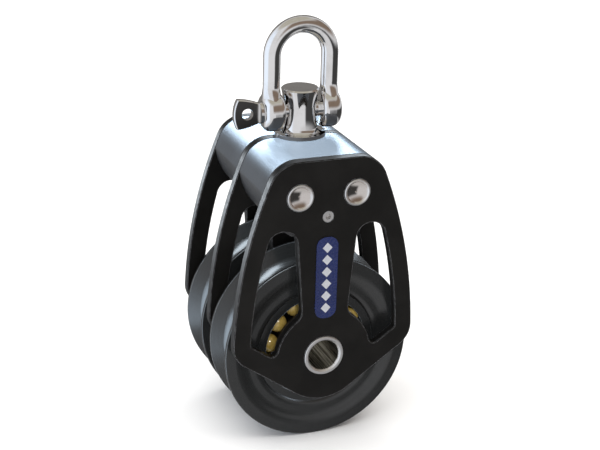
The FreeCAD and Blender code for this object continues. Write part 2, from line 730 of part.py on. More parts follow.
def head_block(name, y, turned=False, lock_hole=False):
    """The block between two plates that carries the swivel, with a rope arch below."""
    _, _, side, top = plate_carriers()
    round_radius, arch_radius = dim("head_round_radius"), dim("head_arch_radius")
    rounding = Circle((0.0, dim("head_round_height").value), round_radius.value)
    arch = Circle((0.0, 0.0), arch_radius.value)
    shoulder = shoulder_arc(side, top)
    side_joint = nearest(crossings(rounding, side), shoulder[1])
    arch_joint = nearest(crossings(rounding, arch), (round_radius.value, arch_radius.value))
    right = [
        ("arc", arch_joint, side_joint, rounding.centre, round_radius),
        ("arc", side_joint, shoulder[1], side.centre, dim("plate_side_radius")),
        shoulder,
    ]
    crown = ("line", shoulder[2], (-shoulder[2][0], shoulder[2][1]))
    arch_arc = ("arc", (-arch_joint[0], arch_joint[1]), arch_joint, arch.centre, arch_radius)
    pieces = right + [crown] + [mirrored(piece) for piece in reversed(right)] + [arch_arc]
    body = new_body(name)
    sketch = new_sketch(body, f"{name}_outline")
    index = add_outline(sketch, pieces, sharp_ends=(0, 5, 6, 7))
    round_right, side_right, _, crown_line, _, side_left, round_left, arch_index = index
    pin_sides(sketch, side_right, side_left)
    pin_crown(sketch, crown_line)
    for round_index in (round_right, round_left):
        pin_centre(sketch, round_index, ZERO, dim("head_round_height"))
    sketch.addConstraint(Sketcher.Constraint("Coincident", arch_index, 3, -1, 1))
    pad(body, sketch, f"{name}_blank", bay_half * 2)
    chamfer_edges(body, f"{name}_edges", dim("edge_chamfer"), bay_half)
    bores = new_sketch(body, f"{name}_bores")
    for hand in (1, -1):
        add_circle(bores, dim("tie_x") * hand, dim("tie_height"), tie_hole_radius)
    cut_through(body, bores, f"{name}_bore_cut")
    cut_swivel_bore(body, name, sheave_y)
    if lock_hole:
        lock = new_sketch(body, f"{name}_lock", lift=bay_half)
        add_circle(lock, ZERO, dim("lock_height"), lock_hole_radius)
        cut_pocket(body, lock, f"{name}_lock_cut", bay_half * 2)
    place(body, y, turned)


head_block("front_head_block", -sheave_y, lock_hole=True)
head_block("rear_head_block", sheave_y, turned=True)


# ---------------------------------------------------------------- hollow axle

def ring_profile(inner, outer, start, end):
    """Corners of a plain ring's section."""
    return [(inner, start), (outer, start), (outer, end), (inner, end)]


def axle_tube():
    """The hollow axle with its head in the front plate."""
    body = new_body("axle_tube")
    sketch = new_sketch(body, "axle_tube_section", plane="XY_Plane")
    front, rear = -dim("axle_half_length"), dim("axle_half_length")
    head_end = -(plate_face - dim("plate_thickness"))
    bore, chamfer, edge = dim("axle_bore_radius"), dim("axle_chamfer"), dim("axle_edge_chamfer")
    head = dim("axle_head_radius")
    add_profile(sketch, [
        (bore + chamfer, front), (head - edge, front), (head, front + edge), (head, head_end),
        (dim("axle_radius"), head_end), (dim("axle_radius"), rear), (bore + chamfer, rear),
        (bore, rear - chamfer), (bore, front + chamfer),
    ])
    revolve(body, sketch, "axle_tube_turned")


def axle_end_ring():
    """The ring screwed on the axle's rear end, in the rear plate."""
    body = new_body("axle_end_ring")
    sketch = new_sketch(body, "axle_end_ring_section", plane="XY_Plane")
    start = plate_face - dim("plate_thickness")
    inner, outer = dim("axle_radius") + dim("axle_seat_clearance"), dim("axle_head_radius")
    end, edge = dim("axle_half_length"), dim("axle_edge_chamfer")
    add_profile(sketch, [
        (inner, start), (outer, start), (outer, end - edge), (outer - edge, end), (inner, end),
    ])
    revolve(body, sketch, "axle_end_ring_turned")


axle_tube()
axle_end_ring()


# ---------------------------------------------------------------- sheaves

def both_sides(half_section):
    """A half section in (radius, distance from the middle), completed on the other side."""
    return half_section + [(radius, -along) for radius, along in reversed(half_section)]


def sheave(name, y):
    """A sheave with its rope groove, dished faces and the outer raceways of its two ball rows."""
    body = new_body(name)
    sketch = new_sketch(body, f"{name}_section", plane="XY_Plane")
    rim, half, flare = dim("sheave_radius"), sheave_half, dim("groove_flare")
    floor_radius = dim("groove_radius")
    floor_centre = rim - dim("groove_depth") + floor_radius
    wall_foot = (floor_centre - floor_radius * flare.sine(), floor_radius * flare.cosine())
    mouth = wall_foot[1] + (rim - wall_foot[0]) * flare.sine() / flare.cosine()
    raceway, pitch, row = dim("raceway_radius"), dim("ball_pitch_radius"), dim("ball_row_offset")
    land, keeper, edge = dim("land_radius"), dim("keeper_radius"), dim("rim_round")
    dish_outer, dish_inner, depth = dim("dish_outer_radius"), dim("dish_inner_radius"), dim("dish_depth")
    floor_level = half - depth
    run = dish_outer - dish_inner
    bend = (run * run + depth * depth) / (depth * 4)
    roll_outer, roll_inner, drop = dim("roll_outer_radius"), dim("roll_inner_radius"), dim("roll_drop")
    roll_run = roll_outer - roll_inner
    roll = (roll_run * roll_run + drop * drop) / (drop * 2)
    half_section = [
        wall_foot, (rim, mouth), (rim, half - edge), (rim - edge, half), (dish_outer, half),
        ((dish_outer + dish_inner) / 2, (half + floor_level) / 2), (dish_inner, floor_level),
        (roll_outer, floor_level), (roll_inner, floor_level - drop), (keeper, floor_level - drop),
        (keeper, row + leg(raceway, keeper - pitch)), (land, row - leg(raceway, land - pitch)),
    ]
    last = len(half_section) * 2 - 1
    half_arcs = {
        2: (edge, (rim - edge, half - edge)), 4: (bend, (dish_outer, half - bend)),
        5: (bend, (dish_inner, floor_level + bend)), 7: (roll, (roll_outer, floor_level - roll)),
        10: (raceway, (pitch, row)),
    }
    arcs = {last: (floor_radius, (floor_centre, ZERO))}
    for number, (radius, (across, along)) in half_arcs.items():
        arcs[number] = (radius, (across, along))
        arcs[last - 1 - number] = (radius, (across, -along))
    add_profile(sketch, both_sides(half_section), arcs)
    revolve(body, sketch, f"{name}_turned")
    place(body, y)


def inner_race(name, y, turned):
    """Half of a sheave's inner race, its ball groove open to the middle and shouldered outside the balls."""
    body = new_body(name)
    sketch = new_sketch(body, f"{name}_section", plane="XY_Plane")
    raceway, pitch, row = dim("raceway_radius"), dim("ball_pitch_radius"), dim("ball_row_offset")
    bore, shoulder, floor = dim("race_bore_radius"), dim("race_shoulder_radius"), pitch - raceway
    corners = [
        (bore, ZERO), (floor, ZERO), (floor, row), (shoulder, row + leg(raceway, pitch - shoulder)),
        (shoulder, bay_half), (bore, bay_half),
    ]
    add_profile(sketch, corners, {2: (raceway, (pitch, row))})
    revolve(body, sketch, f"{name}_turned")
    place(body, y, turned)


def ball_row(name, y, hand):
    """One row of bearing balls; hand is -1 for the row nearer the front plate."""
    body = new_body(name)
    sketch = new_sketch(body, f"{name}_section", plane="XY_Plane")
    ball, pitch = dim("ball_radius"), dim("ball_pitch_radius")
    row = dim("ball_row_offset") * hand
    quarter = (ball, (pitch, row))
    half_circle = [(pitch, row - ball), (pitch + ball, row), (pitch, row + ball)]
    add_profile(sketch, half_circle, {0: quarter, 1: quarter})
    add_axis(sketch, (pitch, ZERO), (pitch, row))
    first = revolve(body, sketch, f"{name}_ball", axis="Axis0")
    pattern = body.newObject("PartDesign::PolarPattern", f"{name}_pattern")
    pattern.Originals = [first]
    pattern.Axis = ([feature for feature in body.Origin.OriginFeatures if feature.Role == "Y_Axis"][0], [""])
    pattern.Angle = 360.0
    bind(pattern, Occurrences=dim("ball_count"))
    body.Tip = pattern
    turn = Rotation(Vector(0, -1, 0), dim("ball_first_angle").value)
    body.Placement = Placement(Vector(0, y.value, 0), turn)
    bind(body, Placement__Base__y=y, Placement__Rotation__Angle=dim("ball_first_angle"))


for place_name, centre in (("front", -sheave_y), ("rear", sheave_y)):
    sheave(f"{place_name}_sheave", centre)
    inner_race(f"{place_name}_sheave_front_race", centre, turned=True)
    inner_race(f"{place_name}_sheave_rear_race", centre, turned=False)
    ball_row(f"{place_name}_sheave_front_balls", centre, -1)
    ball_row(f"{place_name}_sheave_rear_balls", centre, 1)


# ---------------------------------------------------------------- tie bolts and lock screw

def mirror_across(body, feature, name):
    """Repeat a feature on the other side of the body's YZ plane."""
    mirror = body.newObject("PartDesign::Mirrored", name)
    mirror.Originals = feature
    plane = [feature for feature in body.Origin.OriginFeatures if feature.Role == "YZ_Plane"][0]
    mirror.MirrorPlane = (plane, [""])
    body.Tip = mirror
    doc.recompute()


def turned_pin(body, name, x, height, section, arcs=None):
    """A turned piece about an axis along Y at (x, height); section is in (radius, y)."""
    sketch = new_sketch(body, f"{name}_section", plane="XY_Plane", lift=height)
    add_profile(sketch, [(x + radius, along) for radius, along in section], arcs)
    add_axis(sketch, (x, ZERO), (x, section[-1][1]))
    return revolve(body, sketch, f"{name}_turned", axis="Axis0")


def add_hexagon(sketch, x, y, width):
    """A regular hexagon with this width over its flats, points to left and right."""
    reach = width / as_size(3).root()
    corners = [
        (x + reach, y), (x + reach / 2, y + width / 2), (x - reach / 2, y + width / 2),
        (x - reach, y), (x - reach / 2, y - width / 2), (x + reach / 2, y - width / 2),
    ]
    add_profile(sketch, corners)


def tie_bolts():
    """The two bolts that hold plates and head blocks together, with hollow polished heads."""
    body = new_body("tie_bolts")
    face = -fastener_face
    head_end = face + dim("tie_head_length")
    stud = dim("tie_stud_radius") - dim("pin_clearance")
    dish, edge_depth = dim("tie_dish_radius"), dim("tie_dish_depth")
    middle_depth = dim("tie_dish_centre_depth")
    sag = middle_depth - edge_depth
    hollow = (dish * dish + sag * sag) / (sag * 2)
    head, edge = dim("tie_head_radius"), dim("tie_edge_radius")
    section = [
        (ZERO, face + middle_depth), (dish, face + edge_depth), (dim("tie_rim_radius"), face), (edge, face),
        (head, face + (head - edge)), (head, head_end),
        (dim("tie_radius"), head_end), (dim("tie_radius"), dim("tie_shank_end")),
        (stud, dim("tie_shank_end")), (stud, dim("tie_stud_end")), (ZERO, dim("tie_stud_end")),
    ]
    arcs = {0: (hollow, (dim("tie_x"), face + middle_depth - hollow))}
    feature = turned_pin(body, "tie_bolt", dim("tie_x"), dim("tie_height"), section, arcs)
    mirror_across(body, [feature], "tie_bolts_mirror")


def tie_nuts():
    """The barrel nuts of the tie bolts, with a hexagon socket in the rear face."""
    body = new_body("tie_nuts")
    face = fastener_face
    head_start = face - dim("tie_head_length")
    barrel_start = dim("tie_shank_end") + dim("fastener_clearance")
    thread_end = dim("tie_stud_end") + dim("fastener_clearance")
    head, edge = dim("tie_head_radius"), dim("tie_edge_radius")
    section = [
        (dim("tie_stud_radius"), barrel_start), (dim("tie_radius"), barrel_start),
        (dim("tie_radius"), head_start), (head, head_start), (head, face - (head - edge)), (edge, face),
        (ZERO, face), (ZERO, thread_end), (dim("tie_stud_radius"), thread_end),
    ]
    nut = turned_pin(body, "tie_nut", dim("tie_x"), dim("tie_height"), section)
    sockets = new_sketch(body, "tie_nut_socket", lift=-face)
    add_hexagon(sockets, dim("tie_x"), dim("tie_height"), dim("tie_socket_width"))
    before = solid_volume(body)
    socket = body.newObject("PartDesign::Pocket", "tie_nut_socket_cut")
    socket.Profile = sockets
    socket.Reversed = True
    bind(socket, Length=dim("tie_socket_depth"))
    body.Tip = socket
    check_cut(body, before, "socket")
    mirror_across(body, [nut, socket], "tie_nuts_mirror")


def lock_screw():
    """The set screw that runs through the front plate and head block to the swivel's stem."""
    body = new_body("swivel_lock_screw")
    face = -lock_face
    tip = -(dim("stem_radius") + dim("lock_standoff"))
    radius = dim("lock_radius")
    section = [(ZERO, face), (radius, face), (radius, tip), (ZERO, tip)]
    turned_pin(body, "swivel_lock_screw", ZERO, dim("lock_height"), section)
    socket = new_sketch(body, "lock_socket", lift=lock_face)
    add_hexagon(socket, ZERO, dim("lock_height"), dim("lock_socket_width"))
    cut_pocket(body, socket, "lock_socket_cut", dim("lock_socket_depth"))


tie_bolts()
tie_nuts()
lock_screw()


# ---------------------------------------------------------------- swivel

def swivel_post():
    """The post that turns in the head, with its flange, stem, lock groove and the shackle pin's hole."""
    body = new_body("swivel_post")
    sketch = new_sketch(body, "swivel_post_section")
    flange, flare, side = dim("post_flange_radius"), dim("post_flare_radius"), dim("post_side_radius")
    top, chamfer, pin = dim("post_top"), dim("post_chamfer"), dim("shackle_pin_height")
    ledge = dim("post_flange_base") + dim("post_flange_thickness")
    stem, thread = dim("stem_radius"), dim("stem_thread_radius")
    groove, half_groove = dim("stem_groove_radius"), dim("stem_groove_width") / 2
    side_centre = dim("post_waist_radius") + side
    crown = side_centre - leg(side, top - chamfer - pin)
    flare_x = side_centre - leg(side - flare, pin - ledge - flare)
    reach = side / (side - flare)
    foot = (side_centre + (flare_x - side_centre) * reach, pin + (ledge + flare - pin) * reach)
    corners = [
        (ZERO, dim("stem_end")), (thread, dim("stem_end")), (thread, dim("stem_shoulder")),
        (stem, dim("stem_shoulder")), (stem, dim("lock_height") - half_groove),
        (groove, dim("lock_height") - half_groove), (groove, dim("lock_height") + half_groove),
        (stem, dim("lock_height") + half_groove), (stem, dim("post_flange_base")),
        (flange, dim("post_flange_base")), (flange, ledge), (flare_x, ledge), foot,
        (crown, top - chamfer), (crown - chamfer, top), (ZERO, top),
    ]
    add_profile(sketch, corners, {11: (flare, (flare_x, ledge + flare)), 12: (side, (side_centre, pin))})
    revolve(body, sketch, "swivel_post_turned")
    hole = new_sketch(body, "post_pin_hole", plane="YZ_Plane")
    add_circle(hole, ZERO, dim("shackle_pin_height"), pin_hole_radius)
    cut_through(body, hole, "post_pin_hole_cut")


def swivel_nut():
    """The round nut that holds the post down, with a spanner slot across its underside."""
    body = new_body("swivel_nut")
    sketch = new_sketch(body, "swivel_nut_section")
    bore = dim("stem_thread_radius") + dim("pin_clearance")
    base = dim("nut_top") - dim("nut_height")
    add_profile(sketch, ring_profile(bore, dim("nut_radius"), base, dim("nut_top")))
    revolve(body, sketch, "swivel_nut_turned")
    slot = new_sketch(body, "swivel_nut_slot")
    half_width = dim("nut_slot_width") / 2
    slot_top = base + dim("nut_slot_depth")
    below = base - dim("nut_slot_depth")
    corners = [(-half_width, below), (half_width, below), (half_width, slot_top), (-half_width, slot_top)]
    add_profile(slot, corners)
    cut_through(body, slot, "swivel_nut_slot_cut")


def swivel_bush():
    """The flanged bush that the stem turns in and the post's flange runs on."""
    body = new_body("swivel_bush")
    sketch = new_sketch(body, "swivel_bush_section")
    bore, outer, flange = dim("bush_bore_radius"), dim("bush_radius"), dim("bush_flange_radius")
    flange_base = dim("bush_top") - dim("bush_flange_thickness")
    add_profile(sketch, [
        (bore, dim("bush_base")), (outer, dim("bush_base")), (outer, flange_base), (flange, flange_base),
        (flange, dim("bush_top")), (bore, dim("bush_top")),
    ])
    revolve(body, sketch, "swivel_bush_turned")


swivel_post()
swivel_nut()
swivel_bush()


# ---------------------------------------------------------------- shackle

def add_oval(sketch, x, half_x, half_y):
    """An ellipse about a point of the sketch's horizontal axis, longer upright than level."""
    end, side = Vector(x.value, half_y.value, 0), Vector(x.value + half_x.value, 0, 0)
    shape = Part.Ellipse(end, side, Vector(x.value, 0, 0))
    index = sketch.addGeometry(shape)
    sketch.exposeInternalGeometry(index)
    major, minor = index + 1, index + 2
    constrain(sketch, "DistanceX", -1, 1, index, 3, size=x)
    constrain(sketch, "DistanceY", -1, 1, index, 3, size=ZERO)
    sketch.addConstraint(Sketcher.Constraint("Vertical", major))
    constrain(sketch, "Distance", major, size=half_y * 2)
    constrain(sketch, "Distance", minor, size=half_x * 2)


def flare_into_ear(body, name, x, bar):
    """Widen the bar's lower end into an ear; bar is the sketch of its section."""
    foot = dim("shackle_pin_height")
    sections = []
    for number in range(1, ROOT_SECTIONS + 1):
        level = foot + dim(f"root_height_{number}")
        section = new_sketch(body, f"{name}_section_{number}", plane="XY_Plane", lift=level)
        add_oval(section, x, dim(f"root_half_x_{number}"), dim(f"root_half_y_{number}"))
        sections.append(section)
    doc.recompute()
    flare = body.newObject("PartDesign::AdditiveLoft", name)
    flare.Profile = bar
    flare.Sections = sections
    body.Tip = flare
    doc.recompute()
    return flare


def shackle_bow():
    """The bow: one bent bar with a round ear at each end, its edges well rounded."""
    body = new_body("shackle_bow")
    arm, crown, foot = dim("shackle_arm_x"), dim("shackle_crown_height"), dim("shackle_pin_height")
    start = foot + dim("shackle_arm_start")
    path = new_sketch(body, "bow_path")
    left_foot, left_top = Vector(-arm.value, start.value, 0), Vector(-arm.value, crown.value, 0)
    right_foot, right_top = Vector(arm.value, start.value, 0), Vector(arm.value, crown.value, 0)
    left = path.addGeometry(Part.LineSegment(left_foot, left_top))
    circle = Part.Circle(Vector(0, crown.value, 0), Vector(0, 0, 1), arm.value)
    bow = path.addGeometry(Part.ArcOfCircle(circle, 0.0, math.pi))
    right = path.addGeometry(Part.LineSegment(right_top, right_foot))
    path.addConstraint(Sketcher.Constraint("Tangent", left, 2, bow, 2))
    path.addConstraint(Sketcher.Constraint("Tangent", bow, 1, right, 1))
    path.addConstraint(Sketcher.Constraint("Vertical", left))
    constrain(path, "DistanceX", -1, 1, bow, 3, size=ZERO)
    constrain(path, "DistanceY", -1, 1, bow, 3, size=crown)
    constrain(path, "Radius", bow, size=arm)
    constrain(path, "DistanceY", -1, 1, left, 1, size=start)
    constrain(path, "DistanceY", -1, 1, right, 2, size=start)
    bar = new_sketch(body, "bow_bar", plane="XY_Plane", lift=start)
    add_circle(bar, -arm, ZERO, dim("shackle_wire_radius"))
    doc.recompute()
    pipe = body.newObject("PartDesign::AdditivePipe", "bow_bent_bar")
    pipe.Profile = bar
    pipe.Spine = (path, ["Edge1", "Edge2", "Edge3"])
    body.Tip = pipe
    doc.recompute()
    root = flare_into_ear(body, "left_root", -arm, bar)
    mirror_across(body, [root], "right_root")
    inner, outer = dim("shackle_ear_inner"), dim("shackle_ear_outer")
    radius, inner_round = dim("shackle_ear_radius"), dim("shackle_ear_inner_round")
    outer_round = dim("shackle_ear_round")
    section = [
        (inner, foot), (inner, foot + radius - inner_round), (inner + inner_round, foot + radius),
        (outer - outer_round, foot + radius), (outer, foot + radius - outer_round), (outer, foot),
    ]
    rounds = {
        1: (inner_round, (inner + inner_round, foot + radius - inner_round)),
        3: (outer_round, (outer - outer_round, foot + radius - outer_round)),
    }
    ear = new_sketch(body, "right_ear")
    add_profile(ear, section, rounds)
    add_axis(ear, (ZERO, foot), (outer, foot))
    turned = revolve(body, ear, "right_ear_turned", axis="Axis0")
    mirror_across(body, [turned], "left_ear")
    hole = new_sketch(body, "bow_pin_hole", plane="YZ_Plane")
    add_circle(hole, ZERO, foot, pin_hole_radius)
    cut_through(body, hole, "bow_pin_hole_cut")


def shackle_pin():
    """The shackle's screw pin with its collar and flat tab."""
    body = new_body("shackle_pin")
    height = dim("shackle_pin_height")
    ear_face = -(dim("shackle_ear_outer") + dim("pin_clearance"))
    collar_face = ear_face - dim("pin_collar_length")
    shank = new_sketch(body, "pin_section")
    radius, collar, chamfer = dim("pin_radius"), dim("pin_collar_radius"), dim("axle_chamfer")
    section = [
        (collar_face, ZERO), (collar_face, collar), (ear_face, collar), (ear_face, radius),
        (dim("pin_end") - chamfer, radius), (dim("pin_end"), radius - chamfer), (dim("pin_end"), ZERO),
    ]
    add_profile(shank, [(x, height + offset) for x, offset in section])
    add_axis(shank, (ZERO, height), (collar_face, height))
    revolve(body, shank, "pin_turned", axis="Axis0")
    tab = new_sketch(body, "pin_tab")
    root_x = (ear_face + collar_face) / 2
    root, tip = dim("tab_root_height") / 2, dim("tab_tip_height") / 2
    corner, reach = dim("tab_corner_x"), dim("tab_reach")
    bulge = reach - corner
    bulge_radius = (tip * tip + bulge * bulge) / (bulge * 2)
    bulge_arc = (bulge_radius, (bulge_radius - reach, height))
    side_radius = dim("tab_side_radius")
    chord_x, chord_y = -corner - root_x, tip - root
    chord = (chord_x * chord_x + chord_y * chord_y).root()
    sagitta_leg = leg(side_radius, chord / 2) / chord
    middle_x, middle_y = (root_x - corner) / 2, (root + tip) / 2
    side_x, side_y = middle_x + chord_y * sagitta_leg, middle_y + chord_x * sagitta_leg
    outline = [
        (root_x, height - root), (root_x, height + root), (-corner, height + tip), (-reach, height),
        (-corner, height - tip),
    ]
    arcs = {
        1: (side_radius, (side_x, height + side_y)), 2: bulge_arc, 3: bulge_arc,
        4: (side_radius, (side_x, height - side_y)),
    }
    add_profile(tab, outline, arcs)
    pad(body, tab, "pin_tab_plate", dim("tab_thickness"))
    chamfer_edges(body, "pin_tab_edges", dim("tab_chamfer"), dim("tab_thickness") / 2, Part.Circle)
    hole = new_sketch(body, "pin_lanyard_hole")
    add_circle(hole, -dim("tab_hole_x"), height, dim("tab_hole_radius"))
    cut_through(body, hole, "pin_lanyard_hole_cut")


shackle_bow()
shackle_pin()


# ---------------------------------------------------------------- badges

def badge(name, hand):
    """A plain badge on the outward face of an outer plate; hand is -1 at the front."""
    body = new_body(name)
    sketch = new_sketch(body, f"{name}_outline")
    half, low, high = dim("badge_half_width"), dim("badge_base"), dim("badge_top")
    corner = dim("badge_corner_radius")
    inner = half - corner
    corners = [
        (-inner, low), (inner, low), (half, low + corner), (half, high - corner),
        (inner, high), (-inner, high), (-half, high - corner), (-half, low + corner),
    ]
    arcs = {
        1: (corner, (inner, low + corner)), 3: (corner, (inner, high - corner)),
        5: (corner, (-inner, high - corner)), 7: (corner, (-inner, low + corner)),
    }
    add_profile(sketch, corners, arcs)
    pad(body, sketch, f"{name}_plate", dim("badge_thickness"))
    place(body, (plate_face + dim("badge_thickness") / 2) * hand)


badge("front_badge", -1)
badge("rear_badge", 1)


# ---------------------------------------------------------------- checks and files

doc.recompute()
for thing in doc.Objects:
    if {"Invalid", "Error"} & set(thing.State):
        raise RuntimeError(f"{thing.Name} failed: {thing.State}")
for node in nodes:
    if node.Shape.isNull() or not node.Shape.isValid() or not node.Shape.Solids:
        raise RuntimeError(f"{node.Label} has no valid shape")

os.makedirs(PARTS_FOLDER, exist_ok=True)
for node in nodes:
    node.Shape.exportStep(os.path.join(PARTS_FOLDER, f"{node.Label}.step"))
    box = node.Shape.BoundBox
    corner_text = " ".join(f"{number:7.2f}" for number in (*box.getPoint(0), *box.getPoint(6)))
    solid_text = f"{len(node.Shape.Solids):2d} solids {node.Shape.Volume:10.1f} mm3"
    print(f"{node.Label:28s} {solid_text}  box {corner_text}")
print(f"{len(nodes)} nodes")
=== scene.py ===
"""Looks of the double sheave block: finishes, small visual pieces, a pale floor, studio light and the camera.

Everything is in metres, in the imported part's frame: origin in the middle of the axle, +Z to the shackle,
+Y along the axle to the rear plate.
"""
import math

import bmesh
import bpy
from mathutils import Matrix, Vector


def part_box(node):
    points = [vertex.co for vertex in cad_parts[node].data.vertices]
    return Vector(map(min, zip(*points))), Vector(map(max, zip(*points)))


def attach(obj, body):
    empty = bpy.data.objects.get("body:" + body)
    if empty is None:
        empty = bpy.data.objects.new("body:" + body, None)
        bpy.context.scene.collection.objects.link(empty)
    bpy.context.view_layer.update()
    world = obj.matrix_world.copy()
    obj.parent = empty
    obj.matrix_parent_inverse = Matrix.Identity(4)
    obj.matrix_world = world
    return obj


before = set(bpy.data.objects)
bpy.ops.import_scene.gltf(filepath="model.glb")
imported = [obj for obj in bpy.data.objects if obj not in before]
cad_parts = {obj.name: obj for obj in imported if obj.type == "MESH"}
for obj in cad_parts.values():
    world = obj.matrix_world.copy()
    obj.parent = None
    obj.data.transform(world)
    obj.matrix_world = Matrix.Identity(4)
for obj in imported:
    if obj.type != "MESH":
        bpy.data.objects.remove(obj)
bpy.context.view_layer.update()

MM = 0.001

# finishes
BORE_RADIUS = 5.95 * MM
BORE_EDGE = 0.12 * MM
TIE_HOLLOW = 4.0 * MM
HOLLOW_EDGE = 0.15 * MM
HOLLOW_ROUGHNESS = 0.14
TAB_START = -16.0 * MM
TAB_ROUGHNESS = 0.3
# widths of the lightened edges, which are partly wear and partly a painted edge highlight
EDGE_WEAR_AND_HIGHLIGHT_WIDTH = 0.35 * MM
SHEAVE_EDGE_WEAR_AND_HIGHLIGHT_WIDTH = 0.3 * MM
FORGED_WAVES = 0.07 * MM
TURNED_WAVES = 0.015 * MM

# badge marks
LOZENGES = 6
LOZENGE_HALF_TALL = 2.0 * MM
LOZENGE_HALF_WIDE = 1.9 * MM
LOZENGE_END = 4.1 * MM
LOZENGE_SUNK = 0.02 * MM
LOZENGE_RISE = 0.06 * MM

# camera
CAMERA_PLACE = (-0.17986, -0.46009, 0.23152)
CAMERA_RIGHT = (0.93364, -0.35733, 0.02498)
CAMERA_UP = (0.10738, 0.34574, 0.93216)
CAMERA_LENS = 84.0
SENSOR_WIDTH = 36.0

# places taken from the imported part
SHEAVE_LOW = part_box("front_sheave")[0]
TIE_LOW, TIE_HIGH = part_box("tie_bolts")
SCREW_LOW, SCREW_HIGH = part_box("swivel_lock_screw")


# ---------------------------------------------------------------- node trees

class Tree:
    """A short way to write a node tree: each call adds a node and returns its first output."""

    def __init__(self, owner):
        owner.use_nodes = True
        self.nodes = owner.node_tree.nodes
        self.links = owner.node_tree.links
        self.nodes.clear()

    def node(self, kind, inputs=None, **settings):
        """Add a node, set its properties, then set or link its inputs by name or number."""
        made = self.nodes.new(kind)
        for key, value in settings.items():
            setattr(made, key, value)
        for key, value in (inputs or {}).items():
            if isinstance(value, bpy.types.NodeSocket):
                self.links.new(value, made.inputs[key])
            else:
                made.inputs[key].default_value = value
        return made

    def math(self, operation, first, second=0.0):
        return self.node("ShaderNodeMath", {0: first, 1: second}, operation=operation).outputs[0]

    def vector(self, operation, first, second=(0.0, 0.0, 0.0), output=0):
        return self.node("ShaderNodeVectorMath", {0: first, 1: second}, operation=operation).outputs[output]

    def ramp(self, value, low, high, to_low=0.0, to_high=1.0):
        """Map low..high to to_low..to_high, smoothly and clamped."""
        inputs = {"Value": value, "From Min": low, "From Max": high, "To Min": to_low, "To Max": to_high}
        return self.node("ShaderNodeMapRange", inputs, interpolation_type="SMOOTHSTEP").outputs[0]

    def mix(self, factor, first, second):
        """A colour between two colours."""
        made = self.node("ShaderNodeMix", {0: factor}, data_type="RGBA")
        for socket, value in ((made.inputs[6], first), (made.inputs[7], second)):
            if isinstance(value, bpy.types.NodeSocket):
                self.links.new(value, socket)
            else:
                socket.default_value = (*value[:3], 1.0)
        return made.outputs[2]

    def noise(self, place, scale, detail=2.0, roughness=0.5):
        inputs = {"Vector": place, "Scale": scale, "Detail": detail, "Roughness": roughness}
        return self.node("ShaderNodeTexNoise", inputs).outputs["Fac"]

    def varied(self, place, scale, low, high, detail=2.0):
        """A value that drifts between low and high."""
        return self.ramp(self.noise(place, scale, detail), 0.3, 0.7, low, high)

    def split(self, vector):
        """The X, Y and Z outputs of a vector."""
        return self.node("ShaderNodeSeparateXYZ", {0: vector}).outputs

    def worn_and_highlit_edge(self, place, width, scale, start):
        """1 on patches of sharp edges that are lightened partly as wear and partly as a painted edge
        highlight, 0 elsewhere.
        """
        patches = self.ramp(self.noise(place, scale, 3.0), start, 0.6)
        return self.math("MULTIPLY", self.edge(width), patches)

    def place(self):
        """The point's place in the part's frame."""
        return self.node("ShaderNodeTexCoord").outputs["Object"]

    def stretched(self, place, scale):
        return self.vector("MULTIPLY", place, scale)

    def bump(self, height, distance, strength=1.0, normal=None):
        inputs = {"Height": height, "Distance": distance, "Strength": strength}
        if normal is not None:
            inputs["Normal"] = normal
        return self.node("ShaderNodeBump", inputs).outputs[0]

    def edge(self, radius, low=0.01, high=0.12):
        """1 near a sharp edge, 0 away from it."""
        rounded = self.node("ShaderNodeBevel", {"Radius": radius}, samples=8).outputs[0]
        true_normal = self.node("ShaderNodeNewGeometry").outputs["True Normal"]
        agreement = self.vector("DOT_PRODUCT", rounded, true_normal, output="Value")
        return self.ramp(self.math("SUBTRACT", 1.0, agreement), low, high)

    def about(self, place, centre):
        """Distance from a line along Y through centre, given as (x, z)."""
        moved = self.vector("SUBTRACT", place, (centre[0], 0.0, centre[1]))
        flat = self.vector("MULTIPLY", moved, (1.0, 0.0, 1.0))
        return self.vector("LENGTH", flat, output="Value")


def rings(tree, radius, scale):
    """Fine turning marks that depend on the distance from an axis only."""
    return tree.noise(tree.node("ShaderNodeCombineXYZ", {"X": radius}).outputs[0], scale, 3.0, 0.7)


def material(name, build):
    """A material whose Principled shader is set up by build(tree), which returns sockets and values."""
    made = bpy.data.materials.new(name)
    tree = Tree(made)
    shader = tree.node("ShaderNodeBsdfPrincipled", build(tree))
    tree.node("ShaderNodeOutputMaterial", {"Surface": shader.outputs[0]})
    return made


# ---------------------------------------------------------------- finishes

def anodised(dark, light, rough_low, rough_high, specular, edge_wear_and_highlight, grain_scale=5200.0):
    """Satin anodised aluminium: fine blasted grain, faint cloudiness, and edges lightened partly as wear and
    partly as a painted edge highlight.
    """
    def build(tree):
        place = tree.place()
        cloud = tree.noise(place, 60.0, 4.0, 0.6)
        grain = tree.noise(place, grain_scale, 2.0, 0.7)
        speckle = tree.ramp(grain, 0.35, 0.7)
        worn_and_highlit = tree.worn_and_highlit_edge(place, EDGE_WEAR_AND_HIGHLIGHT_WIDTH, 900.0, 0.25)
        body = tree.mix(tree.ramp(cloud, 0.35, 0.65), dark, light)
        body = tree.mix(tree.math("MULTIPLY", speckle, 0.35), body, light)
        return {
            # painted edge highlight: the edge colour lightens sharp edges, partly as wear and partly standing
            # in for the light they catch
            "Base Color": tree.mix(worn_and_highlit, body, edge_wear_and_highlight),
            "Roughness": tree.varied(place, 420.0, rough_low, rough_high, detail=3.0),
            "Specular IOR Level": specular,
            "Normal": tree.bump(grain, 0.012 * MM, 0.6),
        }
    return build


